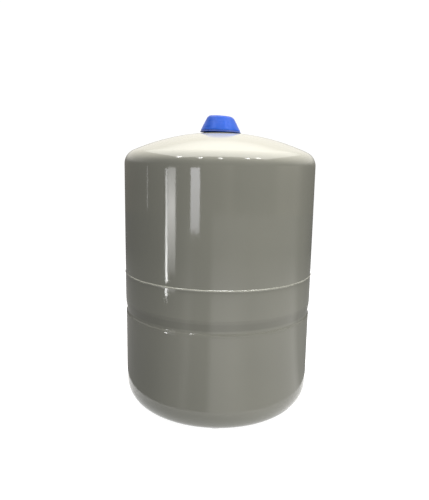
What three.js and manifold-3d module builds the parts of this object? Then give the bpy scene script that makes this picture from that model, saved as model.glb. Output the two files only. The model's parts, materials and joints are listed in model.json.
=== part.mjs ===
// Expansion vessel: two welded steel shells, a diaphragm between gas and water,
// a gas valve under a push-on cover, and a threaded water connection underneath.
// Millimetres, +Z up, origin in the middle of the connection's end face.
import * as THREE from 'three';
import * as BufferGeometryUtils from 'three/addons/utils/BufferGeometryUtils.js';
import Module from 'manifold-3d';

const wasm = await Module();
wasm.setup();

// Driving dimensions
const GAP = 0.3;
const WALL = 1.2;
const UPPER_R = 101;
const LOWER_R = 100.5;
const CROWN_R = 224;
const TOP_KNUCKLE = 15.6;
const BOTTOM_KNUCKLE = 26.9;
const LOWER_TANGENT = 65.6;
const UPPER_TANGENT = 299.2;
const WELD_Z = 185.1;
const WELD_HALF = 1.4;
const LIP_Z = 141.8;
const GROOVE_Z = 146.8;
const GROOVE_TOP = 153.7;
const GROOVE_R = 99.6;

const THREAD_R = 13.2;
const PORT_R = 9.75;
const COLLAR_R = 17.5;
const HEX_Z = 14.4;
const COLLAR_Z = 19.4;
const COLLAR_TOP = 24.1;
const SPIGOT_TOP = 34.9;
const CONNECTION_FLATS = 32;
const NUT_FLATS = 40;

const BOSS_R = 12;
const BOSS_SPIGOT_R = 9;
const BOSS_Z = 333.45;
const BOSS_TOP = 336.6;
const STEM_HEX_Z = 338.2;
const STEM_HEX_TOP = 341.2;
const STEM_R = 3.85;
const STEM_TOP = 347;
const STEM_BORE_R = 2.6;
const STEM_FLATS = 17;
const COVER_TOP = 350.7;

const LARGE = 40;
const SMALL = 24;
const FINE = 16;

// Materials
const paint = () => new THREE.MeshStandardMaterial({ color: '#8a8a80', roughness: 0.3, metalness: 0 });
const steel = () => new THREE.MeshStandardMaterial({ color: '#8c8f92', roughness: 0.45, metalness: 1 });
const stainless = () => new THREE.MeshStandardMaterial({ color: '#b9bbbd', roughness: 0.3, metalness: 1 });
const brass = () => new THREE.MeshStandardMaterial({ color: '#b99a52', roughness: 0.3, metalness: 1 });
const rubber = () => new THREE.MeshStandardMaterial({ color: '#1b1b1c', roughness: 0.8, metalness: 0 });
const linerPlastic = () => new THREE.MeshStandardMaterial({ color: '#e9e6dc', roughness: 0.5, metalness: 0 });
const bluePlastic = () => new THREE.MeshStandardMaterial({ color: '#2a55c4', roughness: 0.35, metalness: 0 });

// Solids of revolution about Z. A profile lists [radius, height] pairs, outside going up.
function revolve(profile, segments = LARGE) {
  const points = profile.map(([radius, height]) => new THREE.Vector2(radius, height));
  const geometry = new THREE.LatheGeometry(points, segments);
  geometry.rotateX(Math.PI / 2);
  return geometry;
}

function revolveLoop(profile, segments = LARGE) {
  return revolve([...profile, profile[0]], segments);
}

// A torispherical end from its tangent line to a hole round the axis.
// up is 1 for an end that rises from the tangent and -1 for one that falls.
function endProfile({ radius, knuckle, crown, tangent, up, hole, knuckleSteps = 4, crownSteps = 4 }) {
  const sweep = Math.asin((radius - knuckle) / (crown - knuckle));
  const crownCentre = tangent - up * (crown - knuckle) * Math.cos(sweep);
  const profile = [];
  for (let step = 0; step <= knuckleSteps; step += 1) {
    const angle = (step / knuckleSteps) * (Math.PI / 2 - sweep);
    const height = tangent + up * knuckle * Math.sin(angle);
    profile.push([radius - knuckle + knuckle * Math.cos(angle), height]);
  }
  const last = Math.asin(hole / crown);
  for (let step = 1; step <= crownSteps; step += 1) {
    const angle = sweep + (step / crownSteps) * (last - sweep);
    profile.push([crown * Math.sin(angle), crownCentre + up * crown * Math.cos(angle)]);
  }
  return profile;
}

function torus(ringRadius, sectionRadius, height, segments = SMALL) {
  const profile = [];
  for (let step = 0; step < 8; step += 1) {
    const angle = (step / 8) * Math.PI * 2;
    profile.push([
      ringRadius + sectionRadius * Math.cos(angle),
      height + sectionRadius * Math.sin(angle),
    ]);
  }
  return revolveLoop(profile, segments);
}

function hexRing(flats, hole, from, to) {
  const shape = new THREE.Shape();
  const corner = flats / 2 / Math.cos(Math.PI / 6);
  for (let side = 0; side < 6; side += 1) {
    const angle = (side / 6) * Math.PI * 2;
    const point = [corner * Math.cos(angle), corner * Math.sin(angle)];
    if (side === 0) shape.moveTo(...point);
    else shape.lineTo(...point);
  }
  shape.closePath();
  const opening = new THREE.Path();
  opening.absarc(0, 0, hole, 0, Math.PI * 2, true);
  shape.holes.push(opening);
  const geometry = new THREE.ExtrudeGeometry(shape, { depth: to - from, bevelEnabled: false, curveSegments: 16 });
  geometry.translate(0, 0, from);
  return geometry;
}

// Booleans
function toManifold(geometry) {
  const bare = geometry.clone();
  bare.deleteAttribute('normal');
  bare.deleteAttribute('uv');
  const merged = BufferGeometryUtils.mergeVertices(bare, 1e-4);
  const mesh = new wasm.Mesh({
    numProp: 3,
    vertProperties: new Float32Array(merged.attributes.position.array),
    triVerts: new Uint32Array(merged.index.array),
  });
  return new wasm.Manifold(mesh);
}

function toGeometry(solid) {
  const mesh = solid.getMesh();
  const geometry = new THREE.BufferGeometry();
  geometry.setAttribute('position', new THREE.BufferAttribute(mesh.vertProperties, 3));
  geometry.setIndex(new THREE.BufferAttribute(mesh.triVerts, 1));
  geometry.computeVertexNormals();
  return geometry;
}

function join(first, second) {
  return toGeometry(toManifold(first).add(toManifold(second)));
}

const group = new THREE.Group();
group.name = 'expansion_vessel';

function place(parent, name, geometry, material) {
  const mesh = new THREE.Mesh(geometry, material);
  mesh.name = name;
  parent.add(mesh);
  return mesh;
}

// Shells
const shells = new THREE.Group();
shells.name = 'shells';
group.add(shells);

function upperShell() {
  const end = { radius: UPPER_R, knuckle: TOP_KNUCKLE, crown: CROWN_R, tangent: UPPER_TANGENT, up: 1 };
  const hole = BOSS_SPIGOT_R + GAP;
  const inner = {
    ...end,
    radius: UPPER_R - WALL,
    knuckle: TOP_KNUCKLE - WALL,
    crown: CROWN_R - WALL,
  };
  return revolveLoop([
    [UPPER_R, WELD_Z + WELD_HALF + GAP],
    ...endProfile({ ...end, hole }),
    ...endProfile({ ...inner, hole }).reverse(),
    [UPPER_R - WALL, WELD_Z + WELD_HALF + GAP],
  ]);
}

function lowerShell() {
  const end = { radius: LOWER_R, knuckle: BOTTOM_KNUCKLE, crown: CROWN_R, tangent: LOWER_TANGENT, up: -1 };
  const hole = THREAD_R + GAP;
  const inner = {
    ...end,
    radius: LOWER_R - WALL,
    knuckle: BOTTOM_KNUCKLE - WALL,
    crown: CROWN_R - WALL,
  };
  return revolveLoop([
    ...endProfile({ ...end, hole }).reverse(),
    [LOWER_R, LIP_Z],
    [GROOVE_R + 0.2, LIP_Z + 2.4],
    [GROOVE_R, GROOVE_Z],
    [UPPER_R, GROOVE_TOP],
    [UPPER_R, WELD_Z - WELD_HALF - GAP],
    [UPPER_R - WALL, WELD_Z - WELD_HALF - GAP],
    [UPPER_R - WALL, GROOVE_TOP],
    [GROOVE_R - WALL, GROOVE_Z],
    [GROOVE_R + 0.2 - WALL, LIP_Z + 2.4],
    [LOWER_R - WALL, LIP_Z],
    ...endProfile({ ...inner, hole }),
  ]);
}

function girthWeld() {
  return revolveLoop([
    [UPPER_R - WALL - 0.3, WELD_Z - WELD_HALF + 0.4],
    [UPPER_R, WELD_Z - WELD_HALF],
    [UPPER_R + 0.35, WELD_Z - 0.7],
    [UPPER_R + 0.35, WELD_Z + 0.7],
    [UPPER_R, WELD_Z + WELD_HALF],
    [UPPER_R - WALL - 0.3, WELD_Z + WELD_HALF - 0.4],
  ]);
}

place(shells, 'upper_shell', upperShell(), paint());
place(shells, 'lower_shell', lowerShell(), paint());
place(shells, 'girth_weld', girthWeld(), paint());

// Diaphragm, its clench ring and the liner
const LINER_R = LOWER_R - WALL - GAP;
const LINER_TOP = 137;
const DIAPHRAGM_R = 97.3;
const DIAPHRAGM_WALL = 2;
const RIM_R = 98.1;
const RIM_WALL = 2.2;
const RIM_Z = 140;
const RIM_TOP = 156;
const DIAPHRAGM_TANGENT = 84;
const DIAPHRAGM_KNUCKLE = 30;

const chamber = new THREE.Group();
chamber.name = 'chamber';
group.add(chamber);

function liner() {
  const offset = WALL + GAP;
  const end = { tangent: LOWER_TANGENT, up: -1, hole: THREAD_R + GAP };
  const outer = {
    ...end,
    radius: LINER_R,
    knuckle: BOTTOM_KNUCKLE - offset,
    crown: CROWN_R - offset,
  };
  const inner = {
    ...end,
    radius: LINER_R - WALL,
    knuckle: BOTTOM_KNUCKLE - offset - WALL,
    crown: CROWN_R - offset - WALL,
  };
  return revolveLoop([
    ...endProfile({ ...outer, crownSteps: 3 }).reverse(),
    [LINER_R, LINER_TOP],
    [LINER_R - WALL, LINER_TOP],
    ...endProfile({ ...inner, crownSteps: 3 }),
  ]);
}

function diaphragm() {
  const end = { tangent: DIAPHRAGM_TANGENT, up: -1, hole: 0, crownSteps: 3 };
  const lower = {
    ...end,
    radius: DIAPHRAGM_R,
    knuckle: DIAPHRAGM_KNUCKLE,
    crown: CROWN_R,
  };
  const upper = {
    ...end,
    radius: DIAPHRAGM_R - DIAPHRAGM_WALL,
    knuckle: DIAPHRAGM_KNUCKLE - DIAPHRAGM_WALL,
    crown: CROWN_R - DIAPHRAGM_WALL,
  };
  return revolve([
    ...endProfile(lower).reverse(),
    [DIAPHRAGM_R, LINER_TOP + 0.5],
    [RIM_R, RIM_Z],
    [RIM_R, RIM_TOP],
    [RIM_R - RIM_WALL, RIM_TOP],
    [RIM_R - RIM_WALL, RIM_Z],
    [DIAPHRAGM_R - DIAPHRAGM_WALL, LINER_TOP + 0.5],
    ...endProfile(upper),
  ]);
}

function clenchRing() {
  const outer = RIM_R - RIM_WALL - GAP;
  const lip = 2;
  const thickness = 1.6;
  const bottom = RIM_Z + 0.8;
  const top = RIM_TOP + 1.2;
  return revolveLoop([
    [outer - thickness - lip, bottom],
    [outer, bottom],
    [outer, top],
    [outer - thickness - lip, top],
    [outer - thickness - lip, top - thickness],
    [outer - thickness, top - thickness],
    [outer - thickness, bottom + thickness],
    [outer - thickness - lip, bottom + thickness],
  ]);
}

place(chamber, 'liner', liner(), linerPlastic());
place(chamber, 'diaphragm', diaphragm(), rubber());
place(chamber, 'clench_ring', clenchRing(), steel());

// Water connection
const connection = new THREE.Group();
connection.name = 'water_connection';
group.add(connection);

const LINER_SEAL_R = 15.9;
const LINER_SEAL_SECTION = 0.9;
const LINER_SEAL_Z = 28.9;

function connectionNipple() {
  const tube = revolveLoop([
    [PORT_R, 0],
    [THREAD_R - 1.2, 0],
    [THREAD_R, 1.2],
    [THREAD_R, COLLAR_Z],
    [COLLAR_R, COLLAR_Z],
    [COLLAR_R, COLLAR_TOP],
    [THREAD_R, COLLAR_TOP],
    [THREAD_R, SPIGOT_TOP],
    [PORT_R, SPIGOT_TOP],
  ]);
  return join(tube, hexRing(CONNECTION_FLATS, (PORT_R + THREAD_R) / 2, HEX_Z, COLLAR_Z + 0.5));
}

function connectionWeld() {
  const inner = COLLAR_R + GAP;
  return revolveLoop([
    [inner, 21.8],
    [inner + 2, 23.1],
    [inner + 3.4, 25.05],
    [inner, 24.85],
  ]);
}

const nutBottom = LINER_SEAL_Z + LINER_SEAL_SECTION + GAP;
const nutHole = THREAD_R + GAP;
place(connection, 'connection_nipple', connectionNipple(), stainless());
place(connection, 'connection_weld', connectionWeld(), steel());
place(connection, 'liner_seal', torus(LINER_SEAL_R, LINER_SEAL_SECTION, LINER_SEAL_Z), rubber());
place(connection, 'liner_nut', hexRing(NUT_FLATS, nutHole, nutBottom, SPIGOT_TOP - 0.5), linerPlastic());

// Gas valve
const valve = new THREE.Group();
valve.name = 'gas_valve';
group.add(valve);

const COVER_SEAL_R = 11.7;
const COVER_SEAL_SECTION = 0.6;
const COVER_SEAL_Z = 335.1;
const BODY_SEAL_R = 7.2;
const BODY_SEAL_SECTION = 0.5;
const BARREL_R = 2.3;
const BARREL_BORE = 1.85;
const BARREL_Z = 336.4;
const BARREL_TOP = 346.2;
const PIN_R = 0.6;
const PIN_HOLE_R = 0.95;
const PIN_TOP = 346.7;
const COLLAR_PIN_Z = 344.3;
const CUP_R = 2;
const CUP_Z = 334.1;
const SPRING_R = 1.2;
const WIRE_R = 0.2;

function valveBoss() {
  const groove = COVER_SEAL_SECTION + GAP;
  return revolveLoop([
    [6.3, BOSS_Z - 7],
    [BOSS_SPIGOT_R, BOSS_Z - 7],
    [BOSS_SPIGOT_R, BOSS_Z],
    [BOSS_R, BOSS_Z],
    [BOSS_R, COVER_SEAL_Z - groove],
    [BOSS_R - 1.2, COVER_SEAL_Z - groove],
    [BOSS_R - 1.2, COVER_SEAL_Z + groove],
    [BOSS_R, COVER_SEAL_Z + groove],
    [BOSS_R, BOSS_TOP - 0.3],
    [BOSS_R - 0.3, BOSS_TOP],
    [6.3, BOSS_TOP],
  ], SMALL);
}

function bossWeld() {
  const inner = BOSS_R + GAP;
  return revolveLoop([
    [inner, 333.1],
    [inner + 2.2, 332.95],
    [inner + 1.3, 333.7],
    [inner, 334.25],
  ], SMALL);
}

function valveBody() {
  const stem = revolveLoop([
    [STEM_BORE_R, 322.4],
    [5.4, 322.4],
    [6, 323],
    [6, STEM_HEX_Z + 0.6],
    [STEM_R, STEM_HEX_Z + 0.6],
    [STEM_R, STEM_TOP - 0.4],
    [STEM_R - 0.4, STEM_TOP],
    [STEM_BORE_R, STEM_TOP],
  ], SMALL);
  return join(stem, hexRing(STEM_FLATS, 3.2, STEM_HEX_Z, STEM_HEX_TOP));
}

function coreBarrel() {
  return revolveLoop([
    [PIN_HOLE_R, BARREL_Z],
    [BARREL_R, BARREL_Z],
    [BARREL_R, BARREL_TOP],
    [PIN_HOLE_R, BARREL_TOP],
    [PIN_HOLE_R, BARREL_TOP - 0.9],
    [BARREL_BORE, BARREL_TOP - 0.9],
    [BARREL_BORE, BARREL_Z + 0.8],
    [PIN_HOLE_R, BARREL_Z + 0.8],
  ], FINE);
}

function valvePin() {
  return revolve([
    [0, CUP_Z],
    [CUP_R, CUP_Z],
    [CUP_R, CUP_Z + 0.9],
    [PIN_R, CUP_Z + 0.9],
    [PIN_R, COLLAR_PIN_Z],
    [1.5, COLLAR_PIN_Z],
    [1.5, COLLAR_PIN_Z + 0.5],
    [PIN_R, COLLAR_PIN_Z + 0.5],
    [PIN_R, PIN_TOP],
    [0, PIN_TOP],
  ], FINE);
}

function pinWasher() {
  return revolveLoop([
    [PIN_R + GAP, CUP_Z + 1.2],
    [CUP_R + 0.1, CUP_Z + 1.2],
    [CUP_R + 0.1, CUP_Z + 2],
    [PIN_R + GAP, CUP_Z + 2],
  ], FINE);
}

class Helix extends THREE.Curve {
  constructor(radius, from, to, turns) {
    super();
    this.radius = radius;
    this.from = from;
    this.to = to;
    this.turns = turns;
  }

  getPoint(fraction, target = new THREE.Vector3()) {
    const angle = fraction * this.turns * Math.PI * 2;
    const height = this.from + (this.to - this.from) * fraction;
    return target.set(this.radius * Math.cos(angle), this.radius * Math.sin(angle), height);
  }
}

function coreSpring() {
  const wire = new THREE.Shape();
  wire.absarc(0, 0, WIRE_R, 0, Math.PI * 2, false);
  const bottom = BARREL_Z + 0.8 + GAP + WIRE_R;
  const top = COLLAR_PIN_Z - GAP - WIRE_R;
  const path = new Helix(SPRING_R, bottom, top, 5);
  return new THREE.ExtrudeGeometry(wire, { steps: 50, curveSegments: 3, bevelEnabled: false, extrudePath: path });
}

place(valve, 'valve_boss', valveBoss(), steel());
place(valve, 'boss_weld', bossWeld(), steel());
place(valve, 'cover_seal', torus(COVER_SEAL_R, COVER_SEAL_SECTION, COVER_SEAL_Z), rubber());
place(valve, 'valve_body', valveBody(), brass());
const bodySealZ = BOSS_TOP + GAP + BODY_SEAL_SECTION;
place(valve, 'body_seal', torus(BODY_SEAL_R, BODY_SEAL_SECTION, bodySealZ), rubber());
place(valve, 'core_barrel', coreBarrel(), brass());
place(valve, 'valve_pin', valvePin(), brass());
place(valve, 'pin_washer', pinWasher(), rubber());
place(valve, 'core_spring', coreSpring(), stainless());

// The cover is a tapered cup with a flared foot. A sleeve inside it grips the boss seal.
function valveCover() {
  const sleeve = 12.6;
  return revolve([
    [0, COVER_TOP - 1.9],
    [10.4, COVER_TOP - 1.9],
    [10.4, 341.8],
    [sleeve, 341.6],
    [sleeve, 334.6],
    [sleeve + 1.7, 334.6],
    [sleeve + 1.7, 341],
    [15.6, 341.2],
    [18.7, 335.6],
    [19.7, 332.5],
    [21.5, 332.5],
    [21.6, 333.2],
    [20.9, 334.4],
    [14, 348.6],
    [13.1, 350],
    [11.4, COVER_TOP],
    [0, COVER_TOP],
  ]);
}

place(valve, 'valve_cover', valveCover(), bluePlastic());

export default group;
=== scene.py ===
"""Expansion vessel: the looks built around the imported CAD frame. Metres, +Z up."""

import json
import math

import bmesh
import bpy
from mathutils import Matrix, Vector, noise


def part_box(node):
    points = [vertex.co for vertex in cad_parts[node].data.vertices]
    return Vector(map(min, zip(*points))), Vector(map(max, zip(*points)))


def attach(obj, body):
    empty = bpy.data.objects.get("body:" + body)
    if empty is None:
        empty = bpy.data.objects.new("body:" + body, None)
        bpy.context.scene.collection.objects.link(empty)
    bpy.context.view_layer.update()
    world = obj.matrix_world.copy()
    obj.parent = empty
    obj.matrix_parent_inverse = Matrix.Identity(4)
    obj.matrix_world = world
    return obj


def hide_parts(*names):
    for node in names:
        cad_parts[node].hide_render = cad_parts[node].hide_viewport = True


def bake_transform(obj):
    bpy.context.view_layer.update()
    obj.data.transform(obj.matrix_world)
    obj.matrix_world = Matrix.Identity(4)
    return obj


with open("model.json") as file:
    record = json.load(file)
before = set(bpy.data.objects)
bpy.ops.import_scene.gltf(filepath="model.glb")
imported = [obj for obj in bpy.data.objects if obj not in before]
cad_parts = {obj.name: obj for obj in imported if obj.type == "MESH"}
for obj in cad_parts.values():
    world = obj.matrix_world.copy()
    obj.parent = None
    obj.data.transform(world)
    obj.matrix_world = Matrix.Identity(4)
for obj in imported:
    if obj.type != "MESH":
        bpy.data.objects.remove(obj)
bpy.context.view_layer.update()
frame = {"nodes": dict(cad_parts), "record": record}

MM = 0.001
TAU = math.pi * 2


def span(node):
    """Outer radius, lowest and highest level of a CAD node, in millimetres."""
    low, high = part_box(node)
    return high.x / MM, low.z / MM, high.z / MM


# ---------------------------------------------------------------- sizes, millimetres
UPPER_R, _, _ = span("upper_shell")
WELD_R, WELD_LOW, WELD_HIGH = span("girth_weld")
WELD_Z = (WELD_LOW + WELD_HIGH) / 2
_, COVER_LOW, COVER_TOP = span("valve_cover")
BOSS_R, BOSS_LOW, BOSS_TOP = span("valve_boss")
_, _, SPIGOT_TOP = span("connection_nipple")
_, _, STEM_TOP = span("valve_body")
BARREL_R, BARREL_LOW, BARREL_TOP = span("core_barrel")
CUP_R, CUP_LOW, PIN_TOP = span("valve_pin")

# shells
WALL = 1.2
LOWER_R = 100.5
CROWN_R = 224
TOP_KNUCKLE = 15.6
BOTTOM_KNUCKLE = 26.9
UPPER_TANGENT = 299.2
LOWER_TANGENT = 65.6
LIP_Z = 141.8
GROOVE_Z = 146.8
GROOVE_TOP = 153.7
GROOVE_R = 99.6
BOSS_HOLE = 9.3
NIPPLE_HOLE = 13.5

# diaphragm and liner
DIAPHRAGM_R = 97.3
DIAPHRAGM_WALL = 2
DIAPHRAGM_KNUCKLE = 30
DIAPHRAGM_TANGENT = 84
RIM_R = 98.1
RIM_WALL = 2.2
RIM_Z = 140
RIM_TOP = 156
LINER_R = 99
LINER_WALL = 1.2
LINER_TOP = 137
NUT_FLATS = 40

# valve and its cover
SEAT_Z = 333.45
FOOT_STEP_Z = 334.8
STEM_HEX_Z = 338.2
STEM_HEX_TOP = 341.2
STEM_FLATS = 17
STEM_R = 3.85
STEM_BORE_R = 2.6
STEM_PITCH = 0.794
ROOT_R = 5.95
ROOT_PITCH = 1.25
BARREL_BORE = 1.85
PIN_R = 0.6
PIN_HOLE_R = 0.95

# water connection
THREAD_R = 13.2
THREAD_PITCH = 1.814
PORT_R = 9.75
COLLAR_R = 17.5
COLLAR_Z = 19.7
COLLAR_TOP = 24.1
CONNECTION_HEX_Z = 14.4
CONNECTION_FLATS = 32


# ---------------------------------------------------------------- camera
CAMERA_DISTANCE = 0.5555
CAMERA_HEIGHT = 0.3019
CAMERA_PITCH = 0.17009
CAMERA_YAW = -0.00761
CAMERA_ROLL = 0.01718
SENSOR_MM = 36
LENS_MM = 36.73368


def make_camera():
    """A view from the height of the shoulder, tilted down, with a slight roll."""
    data = bpy.data.cameras.new("camera")
    data.sensor_width = SENSOR_MM
    data.lens = LENS_MM
    data.clip_start = 0.02
    data.clip_end = 60
    camera = bpy.data.objects.new("camera", data)
    bpy.context.scene.collection.objects.link(camera)
    turn = Matrix.Rotation(-CAMERA_YAW, 3, "Z")
    right = Vector((1, 0, 0))
    up = Vector((0, math.sin(CAMERA_PITCH), math.cos(CAMERA_PITCH)))
    ahead = Vector((0, math.cos(CAMERA_PITCH), -math.sin(CAMERA_PITCH)))
    rolled_right = right * math.cos(CAMERA_ROLL) + up * math.sin(CAMERA_ROLL)
    rolled_up = up * math.cos(CAMERA_ROLL) - right * math.sin(CAMERA_ROLL)
    columns = [turn @ rolled_right, turn @ rolled_up, turn @ -ahead]
    rotation = Matrix(columns).transposed().to_4x4()
    camera.matrix_world = Matrix.Translation((0, -CAMERA_DISTANCE, CAMERA_HEIGHT)) @ rotation
    bpy.context.scene.camera = camera


make_camera()


# ---------------------------------------------------------------- materials
class Shader:
    """A node material with short names for the nodes used here."""

    def __init__(self, name):
        self.material = bpy.data.materials.new(name)
        self.material.use_nodes = True
        self.tree = self.material.node_tree
        self.bsdf = self.tree.nodes["Principled BSDF"]
        self.object = self.tree.nodes.new("ShaderNodeTexCoord").outputs["Object"]

    def node(self, kind, inputs=None, **settings):
        made = self.tree.nodes.new(kind)
        for key, value in settings.items():
            setattr(made, key, value)
        for key, value in (inputs or {}).items():
            if isinstance(value, bpy.types.NodeSocket):
                self.tree.links.new(value, made.inputs[key])
            else:
                made.inputs[key].default_value = value
        return made

    def noise(self, scale, detail=2.0, vector=None, roughness=0.5):
        inputs = {"Vector": vector or self.object, "Scale": scale, "Detail": detail, "Roughness": roughness}
        return self.node("ShaderNodeTexNoise", inputs).outputs["Fac"]

    def stretched(self, x, y, z):
        inputs = {"Vector": self.object, "Scale": (x, y, z)}
        return self.node("ShaderNodeMapping", inputs).outputs["Vector"]

    def ramp(self, value, low, high, out_low, out_high):
        inputs = {"Value": value, "From Min": low, "From Max": high, "To Min": out_low, "To Max": out_high}
        return self.node("ShaderNodeMapRange", inputs).outputs["Result"]

    def math(self, operation, first, second=0.0):
        made = self.node("ShaderNodeMath", operation=operation)
        for index, value in enumerate((first, second)):
            if isinstance(value, bpy.types.NodeSocket):
                self.tree.links.new(value, made.inputs[index])
            else:
                made.inputs[index].default_value = value
        return made.outputs[0]

    def mix(self, factor, first, second):
        made = self.node("ShaderNodeMix", data_type="RGBA")
        for index, value in ((0, factor), (6, first), (7, second)):
            if isinstance(value, bpy.types.NodeSocket):
                self.tree.links.new(value, made.inputs[index])
            elif index == 0:
                made.inputs[index].default_value = value
            else:
                made.inputs[index].default_value = (*value, 1)
        return made.outputs[2]

    def bump(self, height, depth, normal=None):
        inputs = {"Height": height, "Distance": depth, "Strength": 1.0}
        if normal:
            inputs["Normal"] = normal
        return self.node("ShaderNodeBump", inputs).outputs["Normal"]

    def radius(self):
        axes = self.axes()
        across = self.math("MULTIPLY", axes[0], axes[0])
        along = self.math("MULTIPLY", axes[1], axes[1])
        return self.math("SQRT", self.math("ADD", across, along))

    def axes(self):
        return self.node("ShaderNodeSeparateXYZ", {"Vector": self.object}).outputs

    def height(self):
        return self.axes()[2]

    def set(self, **values):
        for key, value in values.items():
            socket = self.bsdf.inputs[key.replace("_", " ")]
            if isinstance(value, bpy.types.NodeSocket):
                self.tree.links.new(value, socket)
            else:
                socket.default_value = (*value, 1) if isinstance(value, tuple) and len(value) == 3 else value
        return self.material


def paint_material():
    """Glossy warm grey powder coat: soft orange peel, cloudiness, smears, and painted shade darkening the
    paint over the groove.
    """
    shader = Shader("grey_paint")
    cloud = shader.noise(14, 3)
    tone = shader.mix(shader.ramp(cloud, 0.3, 0.7, 0, 1), (0.236, 0.237, 0.205), (0.252, 0.252, 0.216))
    speck = shader.ramp(shader.noise(2600, 1), 0.72, 0.8, 0, 0.35)
    coat = shader.mix(speck, tone, (0.2, 0.2, 0.18))
    # Painted shade: from just above the groove's bottom to just over its top, the paint is mixed a little
    # towards dark grey, where the taper faces down into shade.
    level = shader.math("ADD", shader.height(), shader.math("MULTIPLY", shader.noise(25, 3), 0.004))
    above = shader.ramp(level, GROOVE_TOP * MM + 0.0013, GROOVE_TOP * MM + 0.0048, 0.22, 0)
    below = shader.ramp(level, GROOVE_Z * MM + 0.0002, GROOVE_Z * MM + 0.0022, 0, 1)
    colour = shader.mix(shader.math("MULTIPLY", above, below), coat, (0.09, 0.09, 0.08))
    smear = shader.ramp(shader.noise(1, 4, shader.stretched(30, 30, 7), 0.6), 0.4, 0.75, 0.055, 0.1)
    fine = shader.ramp(shader.noise(500, 2), 0.3, 0.7, -0.01, 0.015)
    roughness = shader.math("ADD", smear, fine)
    peel = shader.bump(shader.noise(330, 1), 0.000012)
    grain = shader.bump(shader.noise(1500, 1), 0.000002, peel)
    return shader.set(Base_Color=colour, Roughness=roughness, Normal=grain, IOR=1.5)


def blue_material():
    """Moulded blue polypropylene: fine spark-eroded texture, light rubbing, painted shade round the foot."""
    shader = Shader("blue_plastic")
    cloud = shader.noise(60, 3)
    tone = shader.mix(shader.ramp(cloud, 0.3, 0.7, 0, 1), (0.018, 0.13, 0.8), (0.025, 0.152, 0.86))
    # Painted shade: below the foot step, tilted with the cover's lean, the blue is darkened where the step
    # above shades it.
    axes = shader.axes()
    level = shader.math("ADD", axes[2], shader.math("MULTIPLY", axes[0], 0.023))
    ragged = shader.math("ADD", level, shader.math("MULTIPLY", shader.noise(400, 3), 0.0004))
    foot_shade = shader.ramp(ragged, FOOT_STEP_Z * MM + 0.0003, FOOT_STEP_Z * MM + 0.0006, 0.75, 0)
    colour = shader.mix(foot_shade, tone, (0.003, 0.026, 0.20))
    rub = shader.noise(1, 5, shader.stretched(90, 90, 260), 0.65)
    roughness = shader.ramp(rub, 0.35, 0.75, 0.26, 0.4)
    texture = shader.bump(shader.noise(1800, 2), 0.00001)
    return shader.set(
        Base_Color=colour, Roughness=roughness, Normal=texture, IOR=1.46, Specular_IOR_Level=0.33
    )


def turned_metal(name, low, high, rough_low, rough_high, pitch, depth):
    """Machined metal: fine turning rings along the axis and over the radius."""
    shader = Shader(name)
    stain = shader.noise(180, 4)
    colour = shader.mix(shader.ramp(stain, 0.35, 0.7, 0, 1), low, high)
    travel = shader.math("ADD", shader.height(), shader.radius())
    rings = shader.math("SINE", shader.math("MULTIPLY", travel, TAU / pitch))
    jitter = shader.noise(1, 2, shader.stretched(300, 300, 9000))
    relief = shader.math("ADD", shader.math("MULTIPLY", rings, 0.3), jitter)
    rough = shader.ramp(shader.noise(900, 3), 0.3, 0.7, rough_low, rough_high)
    return shader.set(
        Base_Color=colour, Metallic=1.0, Roughness=rough, Normal=shader.bump(relief, depth), Anisotropic=0.35
    )


def plated_material():
    """Zinc-plated steel: mottled, slightly blue, satin."""
    shader = Shader("plated_steel")
    spangle = shader.node("ShaderNodeTexVoronoi", {"Vector": shader.object, "Scale": 700}).outputs["Color"]
    grey = shader.node("ShaderNodeRGBToBW", {"Color": spangle}).outputs["Val"]
    colour = shader.mix(shader.ramp(grey, 0.2, 0.8, 0, 1), (0.42, 0.43, 0.46), (0.56, 0.57, 0.58))
    rough = shader.ramp(shader.noise(600, 3), 0.3, 0.7, 0.28, 0.45)
    return shader.set(Base_Color=colour, Metallic=1.0, Roughness=rough, Normal=shader.bump(grey, 0.000006))


def rubber_material():
    """Black butyl rubber: matt, with a talc bloom."""
    shader = Shader("black_rubber")
    bloom = shader.ramp(shader.noise(140, 4), 0.45, 0.75, 0, 0.5)
    colour = shader.mix(bloom, (0.012, 0.012, 0.013), (0.05, 0.05, 0.048))
    rough = shader.ramp(shader.noise(500, 3), 0.3, 0.7, 0.55, 0.8)
    return shader.set(Base_Color=colour, Roughness=rough, Normal=shader.bump(shader.noise(2200, 3), 0.000015))


def liner_material():
    """Natural polypropylene: milky, a little see-through, softly moulded."""
    shader = Shader("liner_plastic")
    cloud = shader.ramp(shader.noise(50, 3), 0.3, 0.7, 0, 1)
    colour = shader.mix(cloud, (0.72, 0.70, 0.62), (0.80, 0.79, 0.73))
    rough = shader.ramp(shader.noise(300, 3), 0.3, 0.7, 0.35, 0.5)
    grain = shader.bump(shader.noise(700, 2), 0.00001)
    return shader.set(Base_Color=colour, Roughness=rough, Normal=grain, Subsurface_Weight=0.2)


def weld_material():
    """The paint over a weld bead: rougher, with pinholes, and a little paler as a painted highlight where the
    bead catches light.
    """
    shader = Shader("painted_weld")
    cloud = shader.noise(120, 3)
    # Painted highlight: a paler grey than the shell's paint, standing in for the light the bead catches.
    tone = shader.mix(shader.ramp(cloud, 0.3, 0.7, 0, 1), (0.27, 0.27, 0.235), (0.31, 0.31, 0.265))
    pit = shader.ramp(shader.noise(1100, 2), 0.66, 0.75, 0, 0.6)
    colour = shader.mix(pit, tone, (0.15, 0.15, 0.135))
    rough = shader.ramp(shader.noise(400, 3), 0.3, 0.7, 0.12, 0.24)
    grain = shader.bump(shader.noise(900, 2), 0.00003)
    return shader.set(Base_Color=colour, Roughness=rough, Normal=grain, IOR=1.5)


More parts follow.
